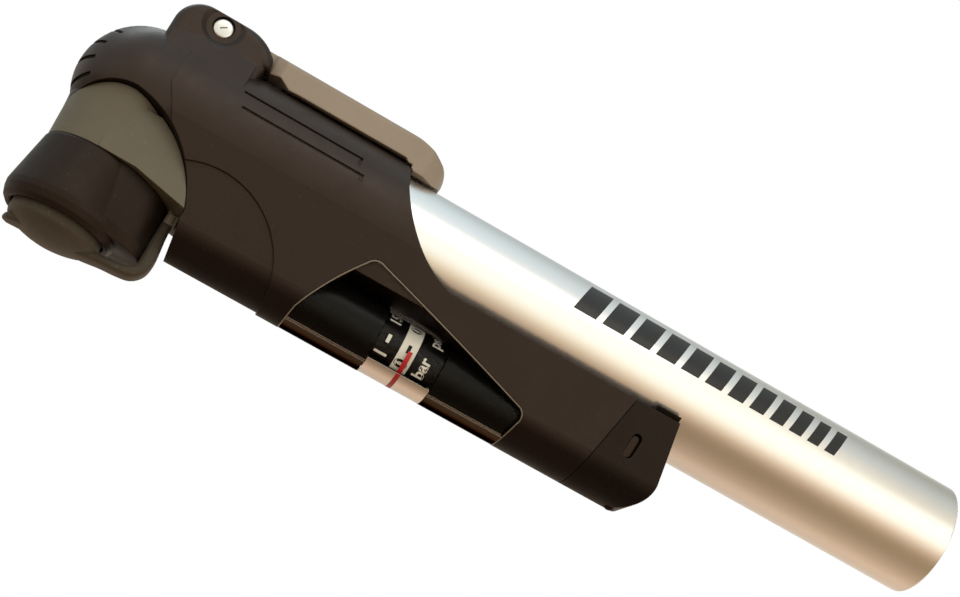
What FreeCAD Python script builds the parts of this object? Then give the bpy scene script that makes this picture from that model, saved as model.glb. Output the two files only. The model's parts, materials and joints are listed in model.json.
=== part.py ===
import FreeCAD, Part
import math
import os
from FreeCAD import Vector

# Mini hand pump with a thumb-lock valve head and a gauge in line under the barrel.
# Millimetres. X runs along the barrel towards the handle's free end, Z is up (lever side).
# Shapes are drawn about the barrel axis and the valve axis, which cross at (0, 0, 0).
# export() then lifts them so that the origin is the centre of the valve seal's bore.

# ---------------------------------------------------------------- driving dimensions
CLEAR = 0.25            # gap between a moving face and the face beside it
FIT = 0.05              # radial play of a sliding or seated fit

# barrel and handle
SLEEVE_R = 11.0         # handle sleeve, outside
SLEEVE_WALL = 0.7
SLEEVE_START = 19.0
SLEEVE_END = 165.8
BARREL_R = 9.6          # fixed inner barrel, outside
BARREL_WALL = 1.0
BARREL_START = 16.5
BARREL_END = 150.0
ROD_R = 3.0

# head
DOME_R = 12.3           # rounded back of the head
DOME_X = 1.0            # its centre, ahead of the valve axis
SHOULDER_END = 9.0      # where the dome has widened to the shroud
SHROUD_R = 13.0         # housing round the sleeve
NECK_R = 9.4            # vertical neck under the dome
NECK_FOOT_R = 9.1
NECK_BOTTOM = -14.8
TAIL_END = 17.3         # neck's foot reaches this far under the barrel
TAIL_FOOT = -16.9       # and slopes down to this height
LUG_BOTTOM = -18.6      # lug under the foot that holds the cap's strap
FEED_R = 1.4            # tube that feeds the gauge from the manifold
FEED_Z = -13.6
CORE_R = 8.2            # hidden part of the core, inside the shell
CORE_TOP = 6.2
SLOT_HALF = 4.9         # half the lever slot between the ears
SLOT_FLOOR = 7.7
GROOVE_DEPTH = 0.5
EAR_HALF = 9.0          # outer face of each ear
PIN_X = 7.4
PIN_Z = 15.6
PIN_R = 2.0
LEVER_TIP = 54.4

# valve seal and collar
SEAL_TOP = -17.6
SEAL_BOTTOM = -25.5
SEAL_BORE_R = 3.9
COLLAR_MOUTH = -27.9
COLLAR_R = 10.8
HEEL_END = 14.9         # the collar's heel ends just ahead of the strap
CAP_R = 8.3             # dust cap
CROWN_Z = -31.7         # lowest point of the dust cap's crown
STRAP_X = 15.9          # upright run of the cap's strap
STRAP_Z = -29.2         # the bend that the cap swings about

# gauge
LOBE_DROP = 16.3        # the housing's lower lobe, below the barrel axis
LOBE_R = 8.0
GAUGE_DROP = 17.75      # gauge axis, below the barrel axis
GAUGE_TUBE_R = 5.95     # clear tube, outside and inside
GAUGE_BORE_R = 5.35
WINDOW_WALL = 0.5       # clear cover's thickness
LEDGE_Z = -7.7          # top edge of the housing beside the sleeve
SEAM_X = 101.3          # joint between housing and end cap, at the ledge
SEAM_LEAN = 0.22        # how far the seam leans back, per millimetre down
CAP_END = 112.0

ORIGIN_LIFT = -(SEAL_TOP + SEAL_BOTTOM) / 2.0

X_AXIS = Vector(1, 0, 0)
Y_AXIS = Vector(0, 1, 0)
Z_AXIS = Vector(0, 0, 1)


# ---------------------------------------------------------------- small helpers
def box(x0, x1, y0, y1, z0, z1):
    return Part.makeBox(x1 - x0, y1 - y0, z1 - z0, Vector(x0, y0, z0))


def cyl_x(radius, x0, x1, z=0.0, y=0.0):
    return Part.makeCylinder(radius, x1 - x0, Vector(x0, y, z), X_AXIS)


def cyl_y(radius, y0, y1, x, z):
    return Part.makeCylinder(radius, y1 - y0, Vector(x, y0, z), Y_AXIS)


def cyl_z(radius, z0, z1, x=0.0, y=0.0):
    return Part.makeCylinder(radius, z1 - z0, Vector(x, y, z0), Z_AXIS)


def ring_x(outer, inner, x0, x1, z=0.0):
    return cyl_x(outer, x0, x1, z).cut(cyl_x(inner, x0 - 1, x1 + 1, z))


def torus_x(centre_r, wire_r, x, z=0.0):
    return Part.makeTorus(centre_r, wire_r, Vector(x, 0, z), X_AXIS)


def line(a, b):
    return Part.LineSegment(a, b).toShape()


def arc(a, mid, b):
    return Part.Arc(a, mid, b).toShape()


def xz(x, z, y=0.0):
    return Vector(x, y, z)


def prism_y(edges, half_width):
    """A closed outline in the XZ plane, extruded to both sides of it."""
    face = Part.Face(Part.Wire(edges))
    face.translate(Vector(0, -half_width, 0))
    return face.extrude(Vector(0, 2 * half_width, 0))


def polygon_y(points, half_width):
    """The same for an outline of straight lines."""
    corners = [xz(x, z) for x, z in points]
    return prism_y([line(a, b) for a, b in zip(corners, corners[1:] + corners[:1])], half_width)


def turned_z(points):
    """A solid turned about the valve axis from its (radius, z) outline."""
    corners = [Vector(r, 0, z) for r, z in points]
    wire = Part.Wire([line(a, b) for a, b in zip(corners, corners[1:] + corners[:1])])
    return Part.Face(wire).revolve(Vector(0, 0, 0), Z_AXIS, 360)


def turned_x(points, z=0.0):
    """A solid turned about an axis along X from its (x, radius) outline."""
    corners = [Vector(x, 0, z + r) for x, r in points]
    wire = Part.Wire([line(a, b) for a, b in zip(corners, corners[1:] + corners[:1])])
    return Part.Face(wire).revolve(Vector(0, 0, z), X_AXIS, 360)


def coil(radius, wire_r, length, turns, start, direction):
    """A round-wire compression spring."""
    pitch = length / turns
    path = Part.makeHelix(pitch, length, radius)
    section = Part.Wire(Part.makeCircle(wire_r, Vector(radius, 0, 0), Y_AXIS))
    spring = Part.Wire(path.Edges).makePipeShell([section], True, True)
    turn = FreeCAD.Rotation(Z_AXIS, direction)
    spring.Placement = FreeCAD.Placement(start, turn)
    return spring


def lobe_prism(inset, x0, x1):
    """The housing's section: a large circle and a small one below it, with their tangents."""
    big = SHROUD_R - inset
    small = LOBE_R - inset
    tilt = math.asin((big - small) / LOBE_DROP)
    side_y = math.cos(tilt)
    side_z = -math.sin(tilt)
    top = Vector(x0, 0, big)
    right_top = Vector(x0, big * side_y, big * side_z)
    left_top = Vector(x0, -big * side_y, big * side_z)
    right_low = Vector(x0, small * side_y, small * side_z - LOBE_DROP)
    left_low = Vector(x0, -small * side_y, small * side_z - LOBE_DROP)
    bottom = Vector(x0, 0, -small - LOBE_DROP)
    wire = Part.Wire([
        arc(left_top, top, right_top),
        line(right_top, right_low),
        arc(right_low, bottom, left_low),
        line(left_low, left_top),
    ])
    return Part.Face(wire).extrude(Vector(x1 - x0, 0, 0))


def edges_where(shape, test):
    return [edge for edge in shape.Edges if test(edge)]


# ---------------------------------------------------------------- outlines shared by parts
def seam_x(z):
    """Where the end cap's seam lies at height z."""
    return SEAM_X + SEAM_LEAN * (z - LEDGE_Z)


def below_arch(grow=0.0):
    """Everything below the arched edge where the neck comes out of the shell."""
    left = xz(-20, -19 + grow)
    front = xz(-9.6, -8.6 + grow)
    crown = xz(0.6, -3.1 + grow)
    foot = xz(TAIL_END + grow, -17.0)
    return prism_y([
        line(left, front),
        arc(front, xz(-5.6, -4.8 + grow), crown),
        arc(crown, xz(9.6 + 0.7 * grow, -6.6 + 0.7 * grow), foot),
        line(foot, xz(TAIL_END + grow, -40)),
        line(xz(TAIL_END + grow, -40), xz(-20, -40)),
        line(xz(-20, -40), left),
    ], 20)


def above_scoop():
    """The space that the sleeve shows in: beyond the shroud's scooped edge."""
    return prism_y([
        line(xz(46.6, 40), xz(46.6, 14)),
        line(xz(46.6, 14), xz(48.6, 5.5)),
        arc(xz(48.6, 5.5), xz(53.2, -1.6), xz(63.5, LEDGE_Z)),
        line(xz(63.5, LEDGE_Z), xz(140, LEDGE_Z)),
        line(xz(140, LEDGE_Z), xz(140, 40)),
        line(xz(140, 40), xz(46.6, 40)),
    ], 30)


def window_outline(inset):
    """The shield-shaped window: a blunt corner by the sleeve and a long slope down to the right."""
    wire = Part.Wire([
        line(xz(39.6, -30), xz(41.2, -21.6)),
        arc(xz(41.2, -21.6), xz(44.4, -15.4), xz(48.4, -9.8)),
        arc(xz(48.4, -9.8), xz(49.6, -8.8), xz(51.4, -8.9)),
        arc(xz(51.4, -8.9), xz(67.6, -13.4), xz(83.6, -18.2)),
        arc(xz(83.6, -18.2), xz(84.9, -19.4), xz(84.8, -21.0)),
        line(xz(84.8, -21.0), xz(82.4, -30)),
        line(xz(82.4, -30), xz(39.6, -30)),
    ])
    face = Part.Face(wire)
    if inset:
        face = Part.Face(face.makeOffset2D(-inset).Wires[0])
    face.translate(Vector(0, -20, 0))
    return face.extrude(Vector(0, 40, 0))


def window_space(inset, skin):
    """What the window takes out of the housing: its skin, and all of it below the web."""
    outline = window_outline(inset)
    web = lobe_prism(skin, 20, 110).cut(box(20, 110, -20, 20, -40, -SLEEVE_R - 0.75))
    return outline.cut(web)


def ear_outline(half_width):
    return prism_y([
        line(xz(-0.7, 4), xz(-0.7, 12.8)),
        arc(xz(-0.7, 12.8), xz(0.8, 16.7), xz(4.6, 18.2)),
        line(xz(4.6, 18.2), xz(11.0, 18.2)),
        arc(xz(11.0, 18.2), xz(14.9, 17.3), xz(17.2, 15.6)),
        arc(xz(17.2, 15.6), xz(17.9, 14.0), xz(17.2, 12.4)),
        line(xz(17.2, 12.4), xz(15.8, 4)),
        line(xz(15.8, 4), xz(-0.7, 4)),
    ], half_width)


def head_form():
    """Outer form of shell and neck together."""
    dome = Part.makeSphere(DOME_R, Vector(DOME_X, 0, 0))
    shoulder = turned_x([(DOME_X, 0), (DOME_X, DOME_R), (SHOULDER_END, SHROUD_R), (SHOULDER_END, 0)])
    lobe = lobe_prism(0, 5.0, 120)
    lean = [(-20, 0.5), (4.9, 0.5), (14.6, -16.6), (17.2, -16.8), (18.4, -24.6), (20, -40), (-20, -40)]
    return dome.fuse([shoulder, neck_form(), lobe.cut(polygon_y(lean, 30))]).removeSplitter()


def neck_form():
    """The neck under the dome, with the tail that runs back from it."""
    neck = turned_z([(0, 0), (NECK_R + 0.6, 0), (NECK_R + 0.6, -3.5), (NECK_R + 0.25, -6.5), (NECK_R, -9.0),
                     (NECK_FOOT_R, NECK_BOTTOM), (0, NECK_BOTTOM)])
    return neck.fuse(neck_tail()).removeSplitter()


def neck_tail():
    """Runs back from the neck under the barrel, narrowing a little, with its foot sloping down."""
    near = NECK_R - 0.15
    far = 8.7
    corners = [Vector(0, -near, TAIL_FOOT), Vector(TAIL_END, -far, TAIL_FOOT),
               Vector(TAIL_END, far, TAIL_FOOT), Vector(0, near, TAIL_FOOT)]
    wire = Part.Wire([line(a, b) for a, b in zip(corners, corners[1:] + corners[:1])])
    height = 12
    tail = Part.Face(wire).extrude(Vector(0, 0, height))
    return tail.cut(below_foot(0))


def below_foot(drop):
    """Everything below the foot of neck and tail, or a little lower."""
    level = NECK_BOTTOM - drop
    low = TAIL_FOOT - drop
    return polygon_y([(-20, level), (7, level), (TAIL_END, low), (40, low), (40, -50), (-20, -50)], 30)


# ---------------------------------------------------------------- head
def main_housing():
    """Shell round the head and the sleeve, with the ears and the gauge lobe, in one moulding."""
    form = head_form()
    ears = ear_outline(EAR_HALF)
    rounded = edges_where(ears, lambda e: e.BoundBox.YLength < 0.01 and e.BoundBox.ZMax > 4.5)
    ears = ears.makeFillet(1.8, rounded)
    shell = form.fuse([ears, ear_flanks()])
    shell = shell.cut(below_arch(0.12))
    shell = shell.cut(above_scoop())
    shell = shell.cut(cyl_z(CORE_R + FIT, -30, CORE_TOP + FIT))
    shell = shell.cut(cyl_x(5.9 + FIT, 0, 14.5))
    shell = shell.cut(cyl_x(10.6 + FIT, 14.0 - FIT, BARREL_START))
    shell = shell.cut(cyl_x(SLEEVE_R + CLEAR, BARREL_START, 130))
    shell = shell.cut(cyl_z(2.9, CORE_TOP, 12))
    shell = shell.cut(box(-3.3, 12.3, -SLOT_HALF, SLOT_HALF, SLOT_FLOOR, 30))
    shell = shell.cut(lever_room())
    for side in (-1, 1):
        shell = shell.cut(pin_dish(side))
    shell = shell.cut(cyl_y(PIN_R, -20, 20, PIN_X, PIN_Z))
    shell = shell.cut(cyl_x(FEED_R + FIT, 14, 24, FEED_Z))
    shell = shell.cut(cyl_x(GAUGE_TUBE_R + FIT, 21.4, 120, -GAUGE_DROP))
    shell = shell.cut(thumb_recess())
    shell = shell.cut(window_space(0, WINDOW_WALL + 0.05))
    shell = shell.cut(beyond_seam())
    shell = shell.cut(grip_slots() + flank_lines())
    return shell.fuse(cap_tongue()).removeSplitter()


def ear_flanks():
    """Sloping sides that carry the ears down into the shroud."""
    sections = []
    for x, top_y, top_z, low_y, low_z in ((0.2, 8.5, 12.0, 11.2, 2.5), (9, EAR_HALF, 13.0, 12.2, 4.4),
                                          (15.7, EAR_HALF, 12.0, 12.2, 4.4)):
        corners = [Vector(x, -low_y, low_z), Vector(x, -top_y, top_z), Vector(x, top_y, top_z),
                   Vector(x, low_y, low_z)]
        sections.append(Part.Wire([line(a, b) for a, b in zip(corners, corners[1:] + corners[:1])]))
    return Part.makeLoft(sections, True, True)


def lever_room():
    """Above the shroud, between the ears, all is open for the lever's neck."""
    slab = box(12.3, 24, -SLOT_HALF, SLOT_HALF, 0, 30)
    return slab.cut(cyl_x(SHROUD_R, 0, 60))


def pin_dish(side):
    """Shallow dished ring round each end of the pin."""
    return Part.makeCone(3.0, 5.0, 1.6, Vector(PIN_X, side * (EAR_HALF - 0.8), PIN_Z), Vector(0, side, 0))


def grip_slots():
    """Grip grooves that run across the rounded back of the head."""
    core = Part.makeSphere(DOME_R - GROOVE_DEPTH, Vector(DOME_X, 0, 0))
    slots = []
    for index in range(4):
        slab = box(-DOME_R - 1, 0, -8, 8, -0.4, 0.4)
        slab = slab.rotated(Vector(0, 0, 0), Y_AXIS, 34 - 19.5 * index)
        slab.translate(Vector(DOME_X, 0, 0))
        slots.append(slab.cut(core))
    return slots


def flank_lines():
    """Two fine engraved lines on each flank of the shroud, each hooked down at its end."""
    core = cyl_x(SHROUD_R - 0.35, 0, 60)
    lines = []
    for start, end, height, hook in ((16.3, 39.4, 5.6, 1.7), (17.2, 40.8, 2.5, 1.2)):
        for side in (-1, 1):
            near = min(side * 8, side * 20)
            bar = box(start, end, near, near + 12, height - 0.25, height + 0.25)
            bar = bar.fuse(box(end - 0.5, end, near, near + 12, height - hook, height + 0.25))
            lines.append(bar.cut(core))
    return lines


def thumb_recess():
    """Shallow round recess that wraps under the lobe from flank to flank."""
    return cyl_y(16.5, -20, 20, 20, -25).cut(lobe_prism(0.4, 0, 61))


def beyond_seam():
    """What lies beyond the end cap's seam."""
    top = xz(seam_x(40), 40)
    low = xz(seam_x(-40), -40)
    return prism_y([
        line(top, xz(140, 40)), line(xz(140, 40), xz(140, -40)),
        line(xz(140, -40), low), line(low, top),
    ], 30)


def cap_tongue():
    """Thinner rim that the end cap pushes over, with a latch nub in each of the cap's slots."""
    rim = lobe_prism(1.5, 94, 107)
    rim = rim.cut(cyl_x(SLEEVE_R + CLEAR, 90, 120))
    rim = rim.cut(cyl_x(GAUGE_TUBE_R + FIT, 90, 120, -GAUGE_DROP))
    rim = rim.cut(box(90, 120, -20, 20, LEDGE_Z - 1.2, 30))
    nubs = latch_slot(0.2).common(lobe_prism(0.7, 100, 110))
    nubs = nubs.cut(cyl_x(GAUGE_TUBE_R + FIT, 90, 120, -GAUGE_DROP))
    nubs = nubs.cut(box(90, 120, -5, 5, -40, 0))
    return rim.fuse(nubs).cut(before_seam(0.4))


def before_seam(overlap):
    """What lies on the head's side of the seam, less a small overlap."""
    top = xz(seam_x(40) - overlap, 40)
    low = xz(seam_x(-40) - overlap, -40)
    return prism_y([
        line(top, xz(50, 40)), line(xz(50, 40), xz(50, -40)),
        line(xz(50, -40), low), line(low, top),
    ], 30)


def latch_slot(shrink):
    """Oval latch slot through both flanks of the end cap."""
    half = 0.95 - shrink
    top = -13.6
    low = -16.2
    bar = box(104.6 - half, 104.6 + half, -20, 20, low, top)
    slot = bar.fuse([cyl_y(half, -20, 20, 104.6, top), cyl_y(half, -20, 20, 104.6, low)])
    return slot.rotated(Vector(104.6, 0, -15), Y_AXIS, 4)


def head_core():
    """Grey neck and the manifold behind it: valve chamber, barrel socket and gauge feed."""
    neck = neck_form().common(below_arch())
    neck = neck.cut(cyl_x(SLEEVE_R + CLEAR, BARREL_START, 30))
    core = neck.fuse([
        cyl_z(CORE_R, NECK_BOTTOM, CORE_TOP),
        cyl_x(5.9, 0, 14.2),
        cyl_x(10.6, 14.0, 16.4),
        cyl_x(BARREL_R - BARREL_WALL - 0.03, 16.0, 22.0),
        cyl_z(8.6, -20.0, NECK_BOTTOM + 1),
        cyl_x(FEED_R, 10, 24, FEED_Z),
    ])
    core = core.fuse(strap_lug())
    core = core.cut(cyl_z(7.0, -21, -13.2))
    core = core.cut(cyl_z(4.2, -14, 0))
    core = core.cut(cyl_z(2.65, -1, 10))
    core = core.cut(cyl_x(1.5, 0, 13))
    core = core.cut(cyl_x(3.2, 12.0, 19.0))
    core = core.cut(cyl_x(4.0, 19.0, 23))
    core = core.cut(cyl_x(0.7, 3, 30, FEED_Z))
    core = core.cut(ring_x(9.2, 7.5, 17.6, 19.2))
    return core.removeSplitter()


def strap_lug():
    """Small lug under the neck's foot that the cap's strap buttons into."""
    lug = box(HEEL_END + 0.15, TAIL_END - 0.1, -2.2, 2.2, LUG_BOTTOM, NECK_BOTTOM + 0.5)
    return lug.common(below_arch()).cut(strap_stud(0.0))


def strap_stud(grow):
    return box(STRAP_X - 0.6 - grow, STRAP_X + 0.6 + grow, -1.3, 1.3, LUG_BOTTOM - 1, LUG_BOTTOM + 1.6)


def collar():
    """Collar that holds the valve seal in, with a heel that runs back under the neck."""
    body = turned_z([
        (0, NECK_BOTTOM - 0.1), (NECK_FOOT_R, NECK_BOTTOM - 0.1), (NECK_FOOT_R + 0.25, -15.3),
        (COLLAR_R - 0.1, -24.2), (COLLAR_R, -25.0), (COLLAR_R - 0.15, -26.0), (10.2, -27.2),
        (9.5, COLLAR_MOUTH), (0, COLLAR_MOUTH),
    ])
    under_neck = heel_outline(9.0, 6.8, NECK_BOTTOM - 0.1)
    widest = heel_outline(10.6, 6.8, -24.6)
    lowest = heel_outline(9.6, 5.6, -26.8)
    heel = Part.makeLoft([under_neck, widest], True, True)
    foot = Part.makeLoft([widest, lowest], True, True)
    top = polygon_y([(-20, 0), (40, 0), (40, -50), (-20, -50)], 30).cut(below_foot(0.1))
    body = body.fuse([heel, foot]).cut(top)
    return body.cut(turned_z([
        (0, COLLAR_MOUTH - 1), (9.0, COLLAR_MOUTH - 1), (9.0, COLLAR_MOUTH), (8.6, -27.5), (8.6, -26.6),
        (5.2, -26.6), (5.2, -25.6), (7.0, -25.6), (7.0, -20.5), (8.65, -20.5), (8.65, -14), (0, -14),
    ])).removeSplitter()


def heel_outline(radius, end_r, z):
    """Plan of the heel: tangents from the round collar back to a smaller round just ahead of the strap."""
    reach = HEEL_END - end_r
    turn = math.asin((radius - end_r) / reach)
    near = radius * math.cos(turn)
    far = end_r * math.cos(turn)
    near_x = radius * math.sin(turn)
    far_x = reach + end_r * math.sin(turn)
    return Part.Wire([
        line(Vector(near_x, -near, z), Vector(far_x, -far, z)),
        arc(Vector(far_x, -far, z), Vector(HEEL_END, 0, z), Vector(far_x, far, z)),
        line(Vector(far_x, far, z), Vector(near_x, near, z)),
        line(Vector(near_x, near, z), Vector(near_x, -near, z)),
    ])


def valve_gland():
    return cyl_z(6.95, SEAL_BOTTOM, SEAL_TOP).cut(cyl_z(SEAL_BORE_R, SEAL_BOTTOM - 1, SEAL_TOP + 1))


def gland_washer():
    return cyl_z(6.9, SEAL_TOP + 0.05, SEAL_TOP + 1.0).cut(cyl_z(3.2, SEAL_TOP - 1, SEAL_TOP + 2))


def plunger():
    """Presses the washer when the lever's cam pushes its plate down."""
    stem = cyl_z(2.6, -14.0, 10.2)
    foot = cyl_z(6.2, -14.6, -13.6).cut(cyl_z(1.4, -15, -12))
    plate = box(-2.9, 10.6, -4.6, 4.6, 9.8, 10.8)
    plate = plate.makeFillet(1.2, edges_where(plate, lambda e: e.BoundBox.ZLength > 0.9))
    body = stem.fuse([foot, plate])
    for angle in range(0, 360, 60):
        notch = cyl_z(0.9, -15, -12, 5.9, 0).rotated(Vector(0, 0, 0), Z_AXIS, angle + 30)
        body = body.cut(notch)
    groove = cyl_z(4, 3.2, 4.4).cut(cyl_z(1.6, 3, 5))
    return body.cut(groove).removeSplitter()


def plunger_seal():
    return Part.makeTorus(2.13, 0.5, Vector(0, 0, 3.8), Z_AXIS)


def lever_cam():
    """Hub of the lever, growing by a spiral on the side that comes down as it lifts."""
    base = 4.4
    rise = 1.9
    steps = 12
    points = []
    for index in range(steps + 1):
        turn = math.pi / 2 * index / steps
        reach = base + rise * index / steps
        points.append(Vector(PIN_X - reach * math.sin(turn), 0, PIN_Z - reach * math.cos(turn)))
    spiral = Part.BSplineCurve()
    spiral.interpolate(points)
    nose = points[-1]
    shoulder = Vector(PIN_X - base - 1.3, 0, PIN_Z + 1.6)
    top = Vector(PIN_X, 0, PIN_Z + 3.2)
    front_low = Vector(PIN_X + base, 0, PIN_Z)
    edges = [
        spiral.toShape(),
        line(nose, shoulder),
        line(shoulder, top),
        line(top, Vector(PIN_X + base, 0, PIN_Z + 3.2)),
        line(Vector(PIN_X + base, 0, PIN_Z + 3.2), front_low),
        arc(front_low, Vector(PIN_X + base * math.sin(0.8), 0, PIN_Z - base * math.cos(0.8)), points[0]),
    ]
    return prism_y(edges, 4.6)


def thumb_lever():
    """Arched thumb lever that lies along the top of the shroud."""
    side = prism_y([
        line(xz(8, 11), xz(8, 22)),
        line(xz(8, 22), xz(30, 22)),
        line(xz(30, 22), xz(30, 18.6)),
        arc(xz(30, 18.6), xz(42.5, 17.7), xz(LEVER_TIP - 2.2, 15.0)),
        arc(xz(LEVER_TIP - 2.2, 15.0), xz(LEVER_TIP - 0.4, 13.8), xz(LEVER_TIP, 12.2)),
        line(xz(LEVER_TIP, 12.2), xz(LEVER_TIP - 0.3, 10.3)),
        line(xz(LEVER_TIP - 0.3, 10.3), xz(48.2, 10.3)),
        line(xz(48.2, 10.3), xz(46.0, 12.0)),
        line(xz(46.0, 12.0), xz(24.5, 12.0)),
        line(xz(24.5, 12.0), xz(22.4, 11.9)),
        line(xz(22.4, 11.9), xz(20.2, 13.2)),
        line(xz(20.2, 13.2), xz(11.0, 13.6)),
        line(xz(11.0, 13.6), xz(8, 11)),
    ], 12)
    crown = cyl_x(14.2, 0, 60, 4.3)
    plan = lever_plan()
    arm = side.common(crown).common(plan)
    arm = arm.cut(cyl_x(SHROUD_R + 0.45, 0, 47.6))
    arm = arm.cut(cyl_x(SLEEVE_R + 0.6, 40, 60))
    arm = arm.makeFillet(0.9, edges_where(arm, is_lever_shoulder))
    neck = box(8, 19.4, -4.6, 4.6, 13.5, 18.4).common(cyl_x(14.2, 0, 60, 4.3))
    body = arm.fuse([neck, lever_cam()])
    body = body.cut(cyl_x(SHROUD_R + 0.45, 12.0, 30))
    body = body.cut(cyl_y(PIN_R + FIT, -10, 10, PIN_X, PIN_Z))
    return body.removeSplitter()


def lever_plan():
    """Plan of the lever: straight beyond the ears, with a rounded tip."""
    half = 7.2
    root = 18.0
    corner = LEVER_TIP - 4.5
    wire = Part.Wire([
        line(Vector(root, -half + 1.0, 5), Vector(root, half - 1.0, 5)),
        line(Vector(root, half - 1.0, 5), Vector(root + 2.0, half, 5)),
        line(Vector(root + 2.0, half, 5), Vector(corner, half, 5)),
        arc(Vector(corner, half, 5), Vector(LEVER_TIP + 0.2, 0, 5), Vector(corner, -half, 5)),
        line(Vector(corner, -half, 5), Vector(root + 2.0, -half, 5)),
        line(Vector(root + 2.0, -half, 5), Vector(root, -half + 1.0, 5)),
    ])
    return Part.Face(wire).extrude(Vector(0, 0, 25))


def is_lever_shoulder(edge):
    """Long edges between the arched top and the sides."""
    bounds = edge.BoundBox
    return bounds.XLength > 15 and bounds.YLength < 0.01 and bounds.ZMin > 15.5


def lever_pin():
    pin = cyl_y(PIN_R, -EAR_HALF + 0.9, EAR_HALF - 0.9, PIN_X, PIN_Z)
    return pin.makeChamfer(0.35, edges_where(pin, lambda e: e.BoundBox.YLength < 0.01))


def dust_cap():
    """Rubber cap with a pull tab and the level run of its strap."""
    flange = cyl_z(CAP_R, -29.6, -26.8)
    flange = flange.makeFillet(0.9, edges_where(flange, lambda e: e.BoundBox.ZMax < -29.5))
    crown_r = 18.0
    crown = Part.makeSphere(crown_r, Vector(0, 0, CROWN_Z + crown_r))
    crown = crown.common(cyl_z(CAP_R - 1.0, -33, -28.0))
    run = box(6.0, STRAP_X, -1.8, 1.8, STRAP_Z - 0.6, STRAP_Z + 0.6)
    knuckle = cyl_y(0.6, -1.8, 1.8, STRAP_X, STRAP_Z)
    tab = box(-7.6, -6.0, -1.9, 1.9, -31.0, -29.4).fuse(cyl_z(1.9, -31.0, -29.4, -7.4))
    return flange.fuse([crown, run, knuckle, tab]).removeSplitter()


def cap_strap():
    """Upright run of the strap, buttoned into the lug."""
    run = box(STRAP_X - 0.6, STRAP_X + 0.6, -1.8, 1.8, STRAP_Z + 0.75, LUG_BOTTOM - 0.05)
    stud = strap_stud(-0.03).cut(box(0, 30, -5, 5, -30, LUG_BOTTOM - 0.2))
    return run.fuse(stud).removeSplitter()


# ---------------------------------------------------------------- pump
def inner_barrel():
    return ring_x(BARREL_R, BARREL_R - BARREL_WALL, BARREL_START, BARREL_END)


def barrel_seal():
    return torus_x(8.1, 0.45, 18.4)


def barrel_guide():
    """Bush in the barrel's end that the rod slides through."""
    body = cyl_x(BARREL_R - BARREL_WALL - 0.02, BARREL_END - 6, BARREL_END)
    body = body.fuse(cyl_x(BARREL_R - 0.1, BARREL_END, BARREL_END + 2))
    return body.cut(cyl_x(ROD_R + FIT, BARREL_END - 10, BARREL_END + 5)).removeSplitter()


def bump_ring():
    return ring_x(7.8, 3.8, BARREL_END - 8.6, BARREL_END - 6.05)


def pump_sleeve():
    """Satin outer tube: the pump's handle."""
    tube = ring_x(SLEEVE_R, SLEEVE_R - SLEEVE_WALL, SLEEVE_START, SLEEVE_END)
    rim = edges_where(tube, lambda e: abs(e.BoundBox.XMax - SLEEVE_END) < 0.01 and e.BoundBox.XLength < 0.01
                      and e.BoundBox.ZLength > 2 * SLEEVE_R - 0.1)
    return tube.makeFillet(0.3, rim)


def sleeve_bush():
    inner = SLEEVE_R - SLEEVE_WALL
    return ring_x(inner - 0.02, BARREL_R + FIT, SLEEVE_START + 0.3, SLEEVE_START + 8.3)


def sleeve_end_plug():
    """Plug in the handle's free end, with a low dome and a screw seat."""
    inner = SLEEVE_R - SLEEVE_WALL
    body = cyl_x(inner - 0.02, SLEEVE_END - 8, SLEEVE_END)
    dome_r = 60.0
    dome = Part.makeSphere(dome_r, Vector(SLEEVE_END + 0.9 - dome_r, 0, 0))
    body = body.fuse(dome.common(cyl_x(inner - 0.3, SLEEVE_END - 1, SLEEVE_END + 2)))
    body = body.cut(cyl_x(ROD_R + 0.02, SLEEVE_END - 9, SLEEVE_END - 2.5))
    body = body.cut(cyl_x(1.55, SLEEVE_END - 4, SLEEVE_END + 2))
    return body.cut(cyl_x(3.2, SLEEVE_END - 1.2, SLEEVE_END + 2)).removeSplitter()


def end_screw():
    """Countersunk cross screw through the plug into the rod."""
    head = cyl_x(3.0, SLEEVE_END - 1.15, SLEEVE_END + 0.5)
    head = head.makeFillet(0.4, edges_where(head, lambda e: abs(e.BoundBox.XMin - SLEEVE_END - 0.5) < 0.01))
    shank = cyl_x(1.5, SLEEVE_END - 9, SLEEVE_END - 1)
    cross = box(SLEEVE_END - 0.3, SLEEVE_END + 1, -0.35, 0.35, -1.8, 1.8)
    cross = cross.fuse(box(SLEEVE_END - 0.3, SLEEVE_END + 1, -1.8, 1.8, -0.35, 0.35))
    return head.fuse(shank).cut(cross).removeSplitter()


def piston_rod():
    rod = cyl_x(ROD_R, 29.0, SLEEVE_END - 2.6)
    rod = rod.cut(cyl_x(1.52, SLEEVE_END - 12, SLEEVE_END))
    return rod.cut(cyl_x(1.52, 28, 40))


def piston():
    body = cyl_x(8.35, 24.6, 34.0)
    body = body.cut(ring_x(9, 7.0, 28.4, 30.2))
    body = body.cut(cyl_x(ROD_R + 0.02, 29.0 - 0.02, 40))
    return body.cut(cyl_x(1.55, 24, 30)).removeSplitter()


def piston_seal():
    return torus_x(7.8, 0.76, 29.3)


def piston_screw():
    head = cyl_x(2.6, 23.6, 24.55)
    return head.fuse(cyl_x(1.5, 24, 38)).removeSplitter()


def check_seat():
    """Brass ring that the check ball closes on, at the barrel end of the core."""
    return ring_x(3.97, 1.2, 19.05, 22.0)


def check_ball():
    return Part.makeSphere(2.2, Vector(17.1, 0, 0))


def check_spring():
    return coil(1.7, 0.22, 2.2, 3, Vector(12.3, 0, 0), X_AXIS)


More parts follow.
